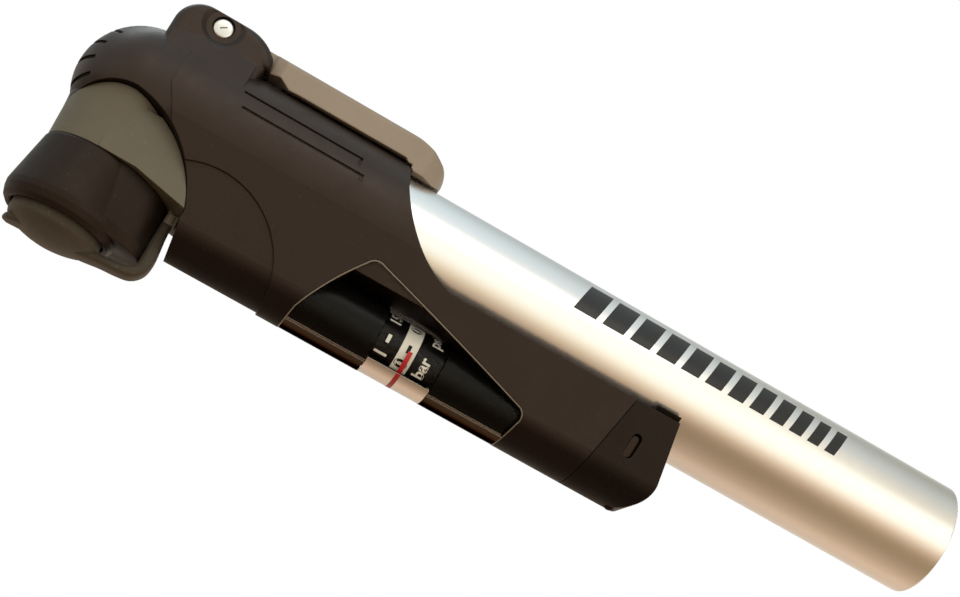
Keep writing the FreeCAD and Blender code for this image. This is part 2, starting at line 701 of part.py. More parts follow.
# ---------------------------------------------------------------- gauge
def gauge_inlet():
    """Plug in the gauge tube's front end, fed by the core's side port."""
    body = cyl_x(GAUGE_TUBE_R, 21.5, 24.5, -GAUGE_DROP).fuse(cyl_x(GAUGE_BORE_R - 0.02, 24, 31, -GAUGE_DROP))
    body = body.cut(cyl_x(FEED_R + FIT, 20, 24.2, FEED_Z))
    body = body.cut(cyl_x(0.7, 20, 40, FEED_Z - 0.4))
    return body.cut(ring_x(6, GAUGE_BORE_R - 1.1, 27, 28.4, -GAUGE_DROP)).removeSplitter()


def gauge_inlet_seal():
    return torus_x(GAUGE_BORE_R - 0.55, 0.5, 27.7, -GAUGE_DROP)


def gauge_tube():
    """Clear tube that the gauge piston slides in."""
    return ring_x(GAUGE_TUBE_R, GAUGE_BORE_R, 24.6, 106.5, -GAUGE_DROP)


def gauge_piston():
    body = cyl_x(GAUGE_BORE_R - FIT, 33.0, 38.0, -GAUGE_DROP)
    body = body.cut(ring_x(6, GAUGE_BORE_R - 1.1, 34.4, 35.8, -GAUGE_DROP))
    return body.fuse(cyl_x(1.6, 38.0, 42.0, -GAUGE_DROP)).removeSplitter()


def gauge_seal():
    return torus_x(GAUGE_BORE_R - 0.55, 0.52, 35.1, -GAUGE_DROP)


def scale_drum():
    """Hollow drum behind the gauge piston that carries the printed scale."""
    return ring_x(GAUGE_BORE_R - FIT, GAUGE_BORE_R - 1.0, 38.05, 80.0, -GAUGE_DROP)


def gauge_spring():
    return coil(2.9, 0.4, 61.0, 16, Vector(38.5, 0, -GAUGE_DROP), X_AXIS)


def gauge_spring_seat():
    body = cyl_x(GAUGE_BORE_R - 0.02, 100.0, 104.0, -GAUGE_DROP)
    body = body.fuse(cyl_x(GAUGE_BORE_R - 0.02, 103.5, 107.0, -GAUGE_DROP))
    return body.cut(cyl_x(0.8, 99, 110, -GAUGE_DROP)).removeSplitter()


def gauge_index_ring():
    """Thin red band on the tube that the scale is read against."""
    return ring_x(GAUGE_TUBE_R + 0.04, GAUGE_TUBE_R, 62.4, 62.9, -GAUGE_DROP)


def gauge_window():
    """Clear cover that follows the lobe round from one flank to the other."""
    outer = lobe_prism(0.06, 30, 100)
    shell = outer.cut(lobe_prism(WINDOW_WALL, 29, 101))
    cover = shell.common(window_outline(0.1))
    return cover.cut(box(20, 110, -20, 20, -8, 30))


def gauge_end_cap():
    """Snap-on end of the gauge lobe."""
    profile = prism_y([
        line(xz(seam_x(LEDGE_Z) + 0.15, LEDGE_Z), xz(CAP_END - 1.8, LEDGE_Z)),
        line(xz(CAP_END - 1.8, LEDGE_Z), xz(CAP_END, -18.6)),
        arc(xz(CAP_END, -18.6), xz(CAP_END - 1.0, -22.2), xz(CAP_END - 4.6, -24.3)),
        line(xz(CAP_END - 4.6, -24.3), xz(CAP_END - 5.0, -30)),
        line(xz(CAP_END - 5.0, -30), xz(seam_x(-30) + 0.15, -30)),
        line(xz(seam_x(-30) + 0.15, -30), xz(seam_x(LEDGE_Z) + 0.15, LEDGE_Z)),
    ], 30)
    body = lobe_prism(0, 90, 120).common(profile)
    tab = cyl_x(SLEEVE_R + 1.5, 105.4, 110.2).common(box(100, 115, -20, 20, -8.4, -6.5))
    body = body.fuse(tab)
    nub = Part.makeSphere(1.2, Vector(107.6, 0, -23.5))
    body = body.fuse(nub)
    body = body.cut(cyl_x(SLEEVE_R + CLEAR, 90, 120))
    socket = lobe_prism(1.45, 90, 108).cut(box(90, 120, -20, 20, LEDGE_Z - 1.0, 30))
    body = body.cut(socket)
    body = body.cut(cyl_x(GAUGE_TUBE_R + FIT, 90, 107.6, -GAUGE_DROP))
    return body.cut(latch_slot(0)).removeSplitter()


# ---------------------------------------------------------------- writing the files
PARTS = [
    main_housing, head_core, collar, valve_gland, gland_washer, plunger, plunger_seal,
    thumb_lever, lever_pin, dust_cap, cap_strap,
    inner_barrel, barrel_seal, barrel_guide, bump_ring, pump_sleeve, sleeve_bush, sleeve_end_plug, end_screw,
    piston_rod, piston, piston_seal, piston_screw, check_seat, check_ball, check_spring,
    gauge_inlet, gauge_inlet_seal, gauge_tube, gauge_piston, gauge_seal, scale_drum, gauge_spring,
    gauge_spring_seat, gauge_index_ring, gauge_window, gauge_end_cap,
]


def export():
    os.makedirs("parts", exist_ok=True)
    for make in PARTS:
        shape = make()
        shape.translate(Vector(0, 0, ORIGIN_LIFT))
        if not shape.isValid():
            print("not valid:", make.__name__)
        print(f"{make.__name__:20s} solids {len(shape.Solids)}  volume {shape.Volume:9.1f}")
        shape.exportStep(f"parts/{make.__name__}.step")


export()
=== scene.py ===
import json
import math

import bpy
import bmesh
from mathutils import Matrix, Vector


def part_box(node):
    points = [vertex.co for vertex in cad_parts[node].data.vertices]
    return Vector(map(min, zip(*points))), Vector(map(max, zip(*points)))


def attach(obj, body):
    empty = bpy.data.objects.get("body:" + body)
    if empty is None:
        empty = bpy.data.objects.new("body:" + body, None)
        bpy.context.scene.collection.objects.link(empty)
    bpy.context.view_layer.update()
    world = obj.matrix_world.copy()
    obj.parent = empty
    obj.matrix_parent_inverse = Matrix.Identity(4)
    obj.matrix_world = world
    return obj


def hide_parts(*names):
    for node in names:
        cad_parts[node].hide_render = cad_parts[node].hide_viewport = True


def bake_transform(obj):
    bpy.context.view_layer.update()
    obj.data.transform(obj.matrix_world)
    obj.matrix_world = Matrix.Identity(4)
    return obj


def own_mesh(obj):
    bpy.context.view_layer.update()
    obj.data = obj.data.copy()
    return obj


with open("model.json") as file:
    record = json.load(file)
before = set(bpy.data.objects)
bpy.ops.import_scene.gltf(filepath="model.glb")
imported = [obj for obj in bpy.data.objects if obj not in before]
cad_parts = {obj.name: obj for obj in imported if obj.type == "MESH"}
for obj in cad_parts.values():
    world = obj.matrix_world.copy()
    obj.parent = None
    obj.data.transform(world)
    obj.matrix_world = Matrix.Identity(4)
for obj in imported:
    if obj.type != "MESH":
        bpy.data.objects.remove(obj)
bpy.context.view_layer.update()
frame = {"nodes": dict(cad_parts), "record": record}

MM = 0.001
NEAR, FAR = -1, 1                           # the flank towards the camera, and the other one


# ---------------------------------------------------------------- places, all from the CAD frame
def centre(node):
    low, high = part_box(node)
    return (low + high) / 2


SLEEVE_LOW, SLEEVE_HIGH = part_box("pump_sleeve")
SLEEVE_R = (SLEEVE_HIGH.z - SLEEVE_LOW.z) / 2
AXIS = centre("pump_sleeve").z              # height of the barrel axis
DRUM_LOW, DRUM_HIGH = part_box("scale_drum")
DRUM_R = (DRUM_HIGH.z - DRUM_LOW.z) / 2
GAUGE_Z = centre("scale_drum").z            # height of the gauge axis
TUBE_LOW, TUBE_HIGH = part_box("gauge_tube")
TUBE_R = (TUBE_HIGH.z - TUBE_LOW.z) / 2
INDEX_X = centre("gauge_index_ring").x
WINDOW_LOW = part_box("gauge_window")[0].z
WINDOW_AXIS_Z = WINDOW_LOW + 7.94 * MM      # height of the line that the cover's outer face curves about
PIN = centre("lever_pin")


def at(x, y, z):
    """A point given in millimetres about the barrel axis."""
    return Vector((x * MM, y * MM, z * MM + AXIS))


# ---------------------------------------------------------------- camera
ELEVATION = math.radians(-20.5)             # seen from below
ALONG = -0.137                              # the view's lean along the barrel
ROLL = math.radians(29.54)
DISTANCE = 0.288
AIM = at(70.1, 0, -1.64)
SENSOR_WIDTH = 36                           # millimetres, as is the lens
LENS = 60


def view_axes():
    """The camera's right, up and backward directions."""
    flat = math.sqrt(1 - ALONG * ALONG)
    back = Vector((ALONG, -math.cos(ELEVATION) * flat, math.sin(ELEVATION) * flat))
    side = (Vector((1, 0, 0)) - back * ALONG).normalized()
    rise = back.cross(side)
    right = side * math.cos(ROLL) + rise * math.sin(ROLL)
    up = rise * math.cos(ROLL) - side * math.sin(ROLL)
    return right, up, back


def make_camera():
    right, up, back = view_axes()
    data = bpy.data.cameras.new("camera")
    data.sensor_width = SENSOR_WIDTH
    data.lens = LENS
    data.clip_start = 0.01
    data.clip_end = 50
    camera = linked("camera", data)
    turn = Matrix((right, up, back)).transposed().to_4x4()
    camera.matrix_world = Matrix.Translation(AIM + back * DISTANCE) @ turn
    bpy.context.scene.camera = camera


# ---------------------------------------------------------------- shader building
class Tree:
    """Adds nodes to a tree and links them in one call each."""

    def __init__(self, tree):
        self.tree = tree
        self.count = 0

    def add(self, kind, settings=None, **sockets):
        node = self.tree.nodes.new(kind)
        self.count += 1
        node.location = (200 * (self.count % 8), -260 * (self.count // 8))
        for key, value in (settings or {}).items():
            setattr(node, key, value)
        for key, value in sockets.items():
            self.put(node, key.replace("_", " "), value)
        return node

    def put(self, node, key, value):
        socket = node.inputs[int(key)] if key.isdigit() else node.inputs[key]
        if isinstance(value, bpy.types.NodeSocket):
            self.tree.links.new(value, socket)
        else:
            socket.default_value = value

    def math(self, operation, a, b=0.0, clamp=False):
        node = self.add("ShaderNodeMath", {"operation": operation, "use_clamp": clamp})
        self.put(node, "0", a)
        self.put(node, "1", b)
        return node.outputs[0]

    def ramp(self, value, stops, mode="LINEAR"):
        node = self.add("ShaderNodeValToRGB")
        node.color_ramp.interpolation = mode
        elements = node.color_ramp.elements
        elements[0].position, elements[0].color = stops[0][0], rgba(stops[0][1])
        elements[1].position, elements[1].color = stops[-1][0], rgba(stops[-1][1])
        for place, colour in stops[1:-1]:
            elements.new(place).color = rgba(colour)
        self.put(node, "Fac", value)
        return node.outputs[0]

    def above(self, value, low, high):
        """0 up to low, 1 from high on, and a straight rise between."""
        return self.ramp(value, [(0.0, 0.0), (low, 0.0), (high, 1.0), (1.0, 1.0)])

    def normal_z(self):
        """The height part of the surface normal."""
        split = self.add("ShaderNodeSeparateXYZ")
        self.put(split, "0", self.add("ShaderNodeNewGeometry").outputs["Normal"])
        return split.outputs[2]

    def mix(self, factor, a, b, kind="MIX"):
        node = self.add("ShaderNodeMix", {"data_type": "RGBA", "blend_type": kind})
        self.put(node, "0", factor)
        self.put(node, "6", a)
        self.put(node, "7", b)
        return node.outputs[2]

    def noise(self, scale, detail=2.0, roughness=0.5, vector=None):
        node = self.add("ShaderNodeTexNoise", Scale=scale, Detail=detail, Roughness=roughness)
        self.put(node, "Vector", vector if vector is not None else self.place())
        return node.outputs[0]

    def place(self, stretch=None):
        coords = self.add("ShaderNodeTexCoord").outputs["Object"]
        if stretch is None:
            return coords
        mapping = self.add("ShaderNodeMapping")
        self.put(mapping, "Vector", coords)
        self.put(mapping, "Scale", stretch)
        return mapping.outputs[0]


def rgba(colour):
    if isinstance(colour, (int, float)):
        colour = (colour, colour, colour)
    return (colour[0], colour[1], colour[2], 1.0)


def new_material(name):
    material = bpy.data.materials.new(name)
    material.use_nodes = True
    material.node_tree.nodes.clear()
    tree = Tree(material.node_tree)
    shader = tree.add("ShaderNodeBsdfPrincipled")
    output = tree.add("ShaderNodeOutputMaterial")
    material.node_tree.links.new(shader.outputs[0], output.inputs[0])
    return material, tree, shader


def moulded(name, colour, roughness=0.5, grain=0.5, grain_scale=3200, edge=0.35, dust=0.3, soften=0.25,
            sheen=0.5, tint=(1.0, 1.0, 1.0), underside_painted_shade=1.0):
    """Moulded plastic: spark-eroded grain, slight colour drift, worn edges and fine light dust.

    soften is the bevel in millimetres; underside_painted_shade is painted shade: the share of the sheen that
    downward faces keep.
    """
    material, t, shader = new_material(name)
    # painted shade: downward faces lose most of their sheen, darkening the underside
    if underside_painted_shade < 1:
        level = t.math("ADD", t.math("MULTIPLY", t.normal_z(), 0.5), 0.5)
        painted_shade_by_facing = t.ramp(level, [(0.0, underside_painted_shade), (0.20, underside_painted_shade), (0.36, 1.0), (1.0, 1.0)])
        t.put(shader, "Specular IOR Level", t.math("MULTIPLY", painted_shade_by_facing, sheen))
    else:
        shader.inputs["Specular IOR Level"].default_value = sheen
    shader.inputs["Specular Tint"].default_value = rgba(tint)
    drift = t.noise(55, 3)
    tone = t.mix(drift, rgba([c * 0.86 for c in colour]), rgba([min(1, c * 1.14) for c in colour]))
    specks = t.above(t.noise(1500, 1), 0.68, 0.76)
    dusty = [min(1, c * 1.6 + 0.035) for c in colour]
    tone = t.mix(t.math("MULTIPLY", specks, dust), tone, rgba(dusty))
    bevel = t.add("ShaderNodeBevel", {"samples": 6}, Radius=soften * MM)
    true_normal = t.add("ShaderNodeNewGeometry").outputs["True Normal"]
    facing = t.add("ShaderNodeVectorMath", {"operation": "DOT_PRODUCT"})
    t.put(facing, "0", bevel.outputs[0])
    t.put(facing, "1", true_normal)
    rub = t.math("MULTIPLY", t.math("SUBTRACT", 0.985, facing.outputs["Value"], clamp=True), 5.0, clamp=True)
    rub = t.math("MULTIPLY", rub, t.ramp(t.noise(420, 3), [(0.35, 0.25), (0.7, 1.0)]))
    worn = [min(1, c * 1.7 + 0.03) for c in colour]
    tone = t.mix(t.math("MULTIPLY", rub, edge), tone, rgba(worn))
    t.put(shader, "Base Color", tone)
    rough = t.ramp(t.noise(240, 3), [(0.3, roughness - 0.07), (0.7, roughness + 0.07)])
    t.put(shader, "Roughness", rough)
    bump = t.add("ShaderNodeBump", Strength=grain, Distance=0.00003)
    t.put(bump, "Height", t.noise(grain_scale, 2, 0.6))
    t.put(bump, "Normal", bevel.outputs[0])
    t.put(shader, "Normal", bump.outputs[0])
    return material


def rubber(name, colour, soften=0.3):
    """Soft matt rubber with a bloom and fine mould texture."""
    material = moulded(name, colour, roughness=0.72, grain=0.35, grain_scale=2200, edge=0.25, dust=0.5,
                       soften=soften)
    shader = next(n for n in material.node_tree.nodes if n.type == "BSDF_PRINCIPLED")
    shader.inputs["Sheen Weight"].default_value = 0.15
    shader.inputs["Sheen Roughness"].default_value = 0.5
    return material


def metal(name, colour, roughness, grain=0.2, stretch=(40, 1, 1), grain_scale=900, scratches=0.06,
          soften=0.15, painted_shade=0.0):
    """Metal with directional grain and light handling marks; painted_shade is painted shade that darkens what
    doesn't face up or down.
    """
    material, t, shader = new_material(name)
    shader.inputs["Metallic"].default_value = 1.0
    streaks = t.noise(grain_scale, 4, 0.6, t.place(stretch))
    tone = t.mix(streaks, rgba([c * 0.95 for c in colour]), rgba([min(1, c * 1.03) for c in colour]))
    marks = t.above(t.noise(130, 5, 0.7), 0.62, 0.8)
    tone = t.mix(t.math("MULTIPLY", marks, scratches * 2), tone, rgba([c * 0.75 for c in colour]))
    # painted shade: faces that point neither up nor down are darkened
    if painted_shade:
        upright = t.math("ABSOLUTE", t.normal_z())
        painted_side_shade = t.ramp(upright, [(0.0, 1 - painted_shade), (0.80, 1 - painted_shade), (0.96, 1.0), (1.0, 1.0)])
        tone = t.mix(1.0, tone, painted_side_shade, "MULTIPLY")
    t.put(shader, "Base Color", tone)
    rough = t.math("ADD", t.math("MULTIPLY", t.noise(700, 3), 0.1), roughness - 0.05)
    rough = t.math("ADD", rough, t.math("MULTIPLY", marks, scratches))
    t.put(shader, "Roughness", rough)
    bevel = t.add("ShaderNodeBevel", {"samples": 4}, Radius=soften * MM)
    bump = t.add("ShaderNodeBump", Strength=grain, Distance=0.00001)
    t.put(bump, "Height", streaks)
    t.put(bump, "Normal", bevel.outputs[0])
    t.put(shader, "Normal", bump.outputs[0])
    return material


def clear(name, colour, painted_rim_shade_colour=None, band=None):
    """Clear moulding that mirrors at a glancing angle, with hairline scratches.

    With a painted rim shade colour it also darkens at its rim, a painted shade that turns the cover dark and
    nearly opaque where it is seen at a glancing angle, except in the band: from x band[0] to band[1] the
    cover is fully clear, and above the height band[2] it has no rim.
    """
    material, t, shader = new_material(name)
    shader.inputs["Metallic"].default_value = 1.0
    facing = t.add("ShaderNodeLayerWeight", Blend=0.5).outputs["Facing"]
    mirror = t.math("MULTIPLY", t.math("POWER", facing, 8.0), 0.9)
    hair = t.above(t.noise(90, 3, 0.6, t.place((1, 9, 9))), 0.66, 0.75)
    alpha = t.math("ADD", mirror, t.math("MULTIPLY", hair, 0.006), clamp=True)
    tone = rgba(colour)
    if painted_rim_shade_colour:
        place = t.add("ShaderNodeSeparateXYZ")
        t.put(place, "0", t.place())
        inside = t.math("MULTIPLY", t.math("GREATER_THAN", place.outputs[0], band[0]),
                        t.math("LESS_THAN", place.outputs[0], band[1]))
        outside = t.math("SUBTRACT", 1.0, inside)
        below = t.math("LESS_THAN", place.outputs[2], band[2])
        # painted shade: dark, nearly opaque rim outside the band and below its height; the mirror's tint
        # below takes the same painted shade
        rim = t.math("MULTIPLY", t.above(facing, 0.32, 0.36), t.math("MULTIPLY", outside, below))
        alpha = t.math("MAXIMUM", t.math("MULTIPLY", alpha, outside), rim)
        tone = t.mix(rim, tone, rgba(painted_rim_shade_colour))
        shader.inputs["Specular Tint"].default_value = rgba([2.2 * c for c in painted_rim_shade_colour])
    t.put(shader, "Base Color", tone)
    t.put(shader, "Alpha", alpha)
    t.put(shader, "Roughness", t.math("ADD", t.math("MULTIPLY", hair, 0.08), 0.04))
    return material


def print_ink(name, colour, roughness=0.35, pinholes=0.25, sheen=0.5, relief=0.15):
    """Screen-printed ink with slight thickness variation and pinholes; relief is how uneven it is."""
    material, t, shader = new_material(name)
    holes = t.above(t.noise(5200, 2), 0.72, 0.8)
    shader.inputs["Specular IOR Level"].default_value = sheen
    tone = t.mix(t.math("MULTIPLY", holes, pinholes), rgba(colour), rgba([0.5 * c + 0.15 for c in colour]))
    tone = t.mix(t.noise(300, 2), tone, rgba([c * 0.85 for c in colour]))
    t.put(shader, "Base Color", tone)
    t.put(shader, "Roughness", t.math("ADD", t.math("MULTIPLY", t.noise(900, 2), 0.15), roughness - 0.07))
    bump = t.add("ShaderNodeBump", Strength=relief, Distance=0.00001)
    t.put(bump, "Height", t.noise(2600, 2))
    t.put(shader, "Normal", bump.outputs[0])
    return material


# ---------------------------------------------------------------- materials
WARM = (1.0, 0.80, 0.70)
# the housing and the end cap darken their undersides with painted shade
HOUSING = moulded("housing_plastic", (0.0115, 0.0072, 0.0060), 0.44, 0.6, dust=0.15,
                  sheen=0.46, tint=WARM, underside_painted_shade=0.2)
NECK = moulded("neck_plastic", (0.108, 0.093, 0.063), 0.45, 0.3, 2600, 0.2, 0.2, sheen=0.45)
COLLAR = moulded("collar_plastic", (0.0105, 0.0065, 0.0045), 0.46, 0.45, 2600, 0.35, 0.25, 0.35,
                 sheen=0.26, tint=WARM)
END_CAP = moulded("end_cap_plastic", (0.0070, 0.0048, 0.0040), 0.48, 0.5, 3000, 0.4, 0.2,
                  sheen=0.28, tint=WARM, underside_painted_shade=0.4)
LEVER = moulded("lever_plastic", (0.280, 0.222, 0.172), 0.42, 0.3, 2400, 0.2, 0.15, 0.5)
LUG = moulded("strap_button", (0.150, 0.115, 0.085), 0.45, 0.3, 2600, 0.2, 0.2, 0.2)
CAP_RUBBER = rubber("cap_rubber", (0.040, 0.029, 0.015))
SEAL_RUBBER = rubber("seal_rubber", (0.012, 0.012, 0.012), 0.1)
WHITE = moulded("white_plastic", (0.72, 0.70, 0.64), 0.4, 0.25, 2600, 0.1, 0.1)
SLEEVE = metal("sleeve_alloy", (0.89, 0.885, 0.875), 0.30, 0.25, (1.5, 14, 14), 700, 0.04, 0.2)
BARREL = metal("barrel_alloy", (0.75, 0.75, 0.75), 0.24, 0.25, (1, 20, 20))
ROD = metal("rod_steel", (0.80, 0.80, 0.80), 0.14, 0.15, (30, 1, 1))
STEEL = metal("pin_steel", (0.66, 0.66, 0.65), 0.30, 0.25, (1, 30, 1))
BRASS = metal("seat_brass", (0.72, 0.53, 0.26), 0.25)
CLEAR = clear("clear_plastic", (0.93, 0.93, 0.90))
BAND_HALF = 6.2 * MM                        # half the length of the tube's clear band
BAND = (INDEX_X - BAND_HALF, INDEX_X + BAND_HALF, GAUGE_Z - 1.5 * MM)
# the cover's dark rim colour is painted shade
COVER = clear("window_clear", (0.93, 0.93, 0.90), (0.075, 0.058, 0.046), BAND)
# the window rim bead's light colour is a painted highlight
PAINTED_RIM_HIGHLIGHT = moulded("window_rim", (0.20, 0.17, 0.13), 0.15, 0.1, 2600, 0.1, 0.1, 0.1)
BLACK_TUBE = print_ink("tube_black", (0.0045, 0.0040, 0.0036), 0.30, 0.0, 0.14, relief=0.004)
# the index plate is darkened sideways with painted shade
PLATE = metal("index_plate", (1.0, 0.92, 0.86), 0.24, 0.15, (1, 12, 12), painted_shade=0.5)
DRUM_SILVER = metal("drum_silver", (0.80, 0.74, 0.68), 0.28, 0.15, (1, 12, 12))
INK_BLACK = print_ink("ink_black", (0.0055, 0.0050, 0.0046), 0.3, 0.02, 0.2, relief=0.01)
INK_WHITE = print_ink("ink_white", (0.82, 0.80, 0.74))
INK_RED = print_ink("index_red", (0.50, 0.012, 0.020), 0.3)
GRAPHIC = print_ink("graphic_black", (0.010, 0.010, 0.010), 0.3)

SLOTS = {
    "housing_plastic": HOUSING, "neck_plastic": NECK, "collar_plastic": COLLAR, "end_cap_plastic": END_CAP,
    "lever_plastic": LEVER, "cap_rubber": CAP_RUBBER, "seal_rubber": SEAL_RUBBER, "white_plastic": WHITE,
    "sleeve_alloy": SLEEVE, "barrel_alloy": BARREL, "rod_steel": ROD, "pin_steel": STEEL, "seat_brass": BRASS,
    "clear_plastic": CLEAR, "drum_print": INK_BLACK, "index_red": INK_RED,
}


def dress_nodes():
    """Every CAD node takes the material of its record slot."""
    for part in frame["record"]["subparts"]:
        node = frame["nodes"][part["node"]]
        node.data.materials.clear()
        node.data.materials.append(COVER if part["node"] == "gauge_window" else SLOTS[part["material_slot"]])


# ---------------------------------------------------------------- mesh helpers
def linked(name, data):
    ob = bpy.data.objects.new(name, data)
    bpy.context.scene.collection.objects.link(ob)
    return ob


def piece(name, mesh, material, body):
    ob = linked(name, mesh)
    mesh.materials.append(material)
    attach(ob, body)
    return ob


def shaded(mesh, angle=35):
    for polygon in mesh.polygons:
        polygon.use_smooth = True
    mesh.set_sharp_from_angle(angle=math.radians(angle))
    return mesh


def circle(segments):
    return [2 * math.pi * i / segments for i in range(segments)]


def round_x(x, radius, angle, z):
    """A point on a cylinder along X; angle is the elevation of its normal, from the -Y side."""
    return Vector((x, -radius * math.cos(angle), z + radius * math.sin(angle)))


def patch(bm, x0, x1, a0, a1, inner, outer, z, slant=0.0, steps=None):
    """A thin curved plate on a cylinder along X, closed on every side; slant moves its second end along X."""
    steps = steps or max(2, int(abs(a1 - a0) / math.radians(4)))
    rows = []
    for i in range(steps + 1):
        share = i / steps
        angle = a0 + (a1 - a0) * share
        lean = slant * share
        corners = ((x0, inner), (x1, inner), (x1, outer), (x0, outer))
        rows.append([bm.verts.new(round_x(x + lean, radius, angle, z)) for x, radius in corners])
    for low, high in zip(rows, rows[1:]):
        for i in range(4):
            j = (i + 1) % 4
            bm.faces.new((low[i], low[j], high[j], high[i]))
    bm.faces.new(rows[0][::-1])
    bm.faces.new(rows[-1])


def evaluated(name, curve):
    """The mesh of a curve or text, which is removed."""
    holder = linked(name, curve)
    bpy.context.view_layer.update()
    mesh = bpy.data.meshes.new_from_object(holder.evaluated_get(bpy.context.evaluated_depsgraph_get()))
    bpy.data.objects.remove(holder)
    bpy.data.curves.remove(curve)
    return mesh


def finished(bm, name):
    bmesh.ops.recalc_face_normals(bm, faces=bm.faces)
    mesh = bpy.data.meshes.new(name)
    bm.to_mesh(mesh)
    bm.free()
    return shaded(mesh)


def glyph(text, height):
    """Flat mesh of one short marking, centred and along X; height is about that of its capitals."""
    curve = bpy.data.curves.new("glyph", "FONT")
    curve.body = text
    curve.size = height * 1.38
    curve.align_x = "CENTER"
    curve.align_y = "CENTER"
    curve.offset = height * 0.035
    curve.resolution_u = 6
    return evaluated("glyph", curve)


def add_glyph(bm, text, height, x, angle, radius, z, side):
    """Wraps a marking on the drum: its top points to the head and it reads upwards round the drum."""
    mesh = glyph(text, height)
    start = len(bm.verts)
    bm.from_mesh(mesh)
    bm.verts.ensure_lookup_table()
    for vertex in bm.verts[start:]:
        across, up = vertex.co.x, vertex.co.y
        point = round_x(x - up, radius, angle + across / radius, z)
        if side == FAR:
            point.y = -point.y
        vertex.co = point
    bpy.data.meshes.remove(mesh)


# ---------------------------------------------------------------- gauge
def tube_mesh(name, outer, inner, x0, x1, z, lip=0.0, segments=96):
    """A tube along X with small bevels at its rims."""
    bm = bmesh.new()
    profile = [(x0, inner), (x0, outer - lip), (x0 + lip, outer),
               (x1 - lip, outer), (x1, outer - lip), (x1, inner)]
    rings = [[bm.verts.new(round_x(x, r, a, z)) for a in circle(segments)] for x, r in profile]
    for near, far in zip(rings, rings[1:] + rings[:1]):
        for i in range(segments):
            j = (i + 1) % segments
            bm.faces.new((near[i], near[j], far[j], far[i]))
    return finished(bm, name)


def flank(side, low, high):
    """A span of elevations on one flank, given in degrees, as angles for patch."""
    a, b = math.radians(low), math.radians(high)
    return (a, b) if side == NEAR else (math.pi - a, math.pi - b)


def build_drum():
    """The sliding drum: a bright tube with a printed scale on each flank."""
    skin = 0.02 * MM                        # depth of the printed layers, all within the drum's radius
    wall = 0.9 * MM
    pitch = 4.0 * MM                        # travel per bar
    psi_per_bar = 15
    zero = INDEX_X - 0.4 * MM
    strip = 1.5 * MM                        # half the length of the white strip behind the zero
    margin = 1.0 * MM
    dash = 0.33 * MM                        # half the width of a scale mark
    bar_row, psi_row = math.radians(-37), math.radians(42)
    bar_word = math.radians(-26)
    under, over, top = DRUM_R - 1.5 * skin, DRUM_R - 0.8 * skin, DRUM_R - 0.2 * skin

    core = tube_mesh("drum_core", DRUM_R - skin, DRUM_R - wall, DRUM_LOW.x, DRUM_HIGH.x, GAUGE_Z, 0.1 * MM)
    drum = piece("drum_core", core, DRUM_SILVER, "gauge_slide")
    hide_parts("scale_drum")
    black, white, marks, dark_marks = (bmesh.new() for _ in range(4))
    for side in (NEAR, FAR):
        first, last = flank(side, -54, 62)
        for target, x0, x1 in (
            (black, DRUM_LOW.x + margin, zero - strip),
            (black, zero + strip, DRUM_HIGH.x - margin),
            (white, zero - strip, zero + strip),
        ):
            patch(target, x0, x1, first, last, under, over, GAUGE_Z)
        first, last = flank(side, -14, 3)
        for number in range(6):
            x = zero - pitch * number
            target = dark_marks if number == 0 else marks
            add_glyph(target, str(number), 2.4 * MM, x, bar_row, top, GAUGE_Z, side)
            add_glyph(target, str(number * psi_per_bar), 2.1 * MM, x, psi_row, top, GAUGE_Z, side)
            patch(target, x - dash, x + dash, first, last, DRUM_R - 0.6 * skin, top, GAUGE_Z)
        add_glyph(marks, "bar", 2.15 * MM, zero + 3.6 * MM, bar_word, top, GAUGE_Z, side)
        add_glyph(marks, "psi", 2.15 * MM, zero + 3.9 * MM, psi_row, top, GAUGE_Z, side)
    for name, bm, ink in (
        ("drum_panels", black, INK_BLACK), ("drum_strip", white, INK_WHITE),
        ("drum_numbers", marks, INK_WHITE), ("drum_zero", dark_marks, INK_BLACK),
    ):
        piece(name, finished(bm, name), ink, "gauge_slide")


def build_gauge_tube():
    """The fixed gauge tube: black but for a clear band that the scale shows through."""
    inner = DRUM_R + 0.05 * MM
    lip = 0.12 * MM
    for name, x0, x1, bevel, material in (
        ("gauge_tube_clear", BAND[0], BAND[1], 0.0, CLEAR),
        ("gauge_tube_front", TUBE_LOW.x, BAND[0], lip, BLACK_TUBE),
        ("gauge_tube_rear", BAND[1], TUBE_HIGH.x, lip, BLACK_TUBE),
    ):
        mesh = tube_mesh(name, TUBE_R, inner, x0, x1, GAUGE_Z, bevel)
        ob = piece(name, mesh, material, "head")
        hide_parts("gauge_tube")


def build_index():
    """Bright plate inside the cover, below the clear band, and the red mark down the tube and plate."""
    plate_r = 7.88 * MM
    plate = 0.12 * MM                       # thickness
    gap = 0.1 * MM                          # from the ends of the clear band
    first = math.radians(-90 + 35)
    last = math.radians(-90 - 35)
    half = 0.42 * MM                        # half the width of the red mark
    lift = 0.005 * MM                       # of the mark from what it is printed on

    bm = bmesh.new()
    patch(bm, BAND[0] + gap, BAND[1] - gap, first, last, plate_r - plate, plate_r, WINDOW_AXIS_Z, steps=40)
    ob = piece("index_plate", finished(bm, "index_plate"), PLATE, "head")
    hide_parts("gauge_index_ring")
    bm = bmesh.new()
    x0, x1 = INDEX_X - half, INDEX_X + half
    for side in (NEAR, FAR):
        high, low = flank(side, -9, -67)
        patch(bm, x0, x1, high, low, TUBE_R + lift, TUBE_R + 0.035 * MM, GAUGE_Z)
    patch(bm, x0, x1, first, last, plate_r + lift, plate_r + 0.03 * MM, WINDOW_AXIS_Z, steps=40)
    ob = piece("index_mark", finished(bm, "index_mark"), INK_RED, "head")
    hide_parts("gauge_index_ring")


